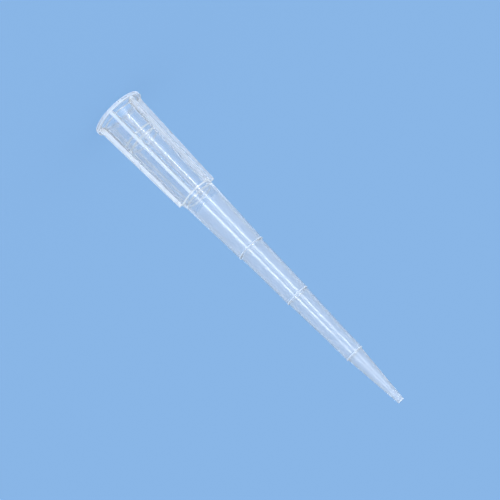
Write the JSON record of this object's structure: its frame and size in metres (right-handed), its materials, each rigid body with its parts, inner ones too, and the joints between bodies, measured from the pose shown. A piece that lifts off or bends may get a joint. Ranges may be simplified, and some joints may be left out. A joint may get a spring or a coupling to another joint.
{
  "type": "pipette tip",
  "caption": "Clear moulded pipette tip: ribbed collar with a flanged mouth and stepped sealing socket, on a slim body that narrows past raised volume rings to a fine point.",
  "frame": {"origin": "centre of the mouth face, on which the tip stands", "axes": "+Z along the bore from the mouth to the dispensing point; +X through the middle of one collar rib"},
  "size_m": [0.0076, 0.0076, 0.054],
  "materials": {
    "polypropylene": "natural clear polypropylene, smooth, with a faint milky haze"
  },
  "bodies": {
    "root": {"pipette_tip": "polypropylene"}
  },
  "joints": []
}
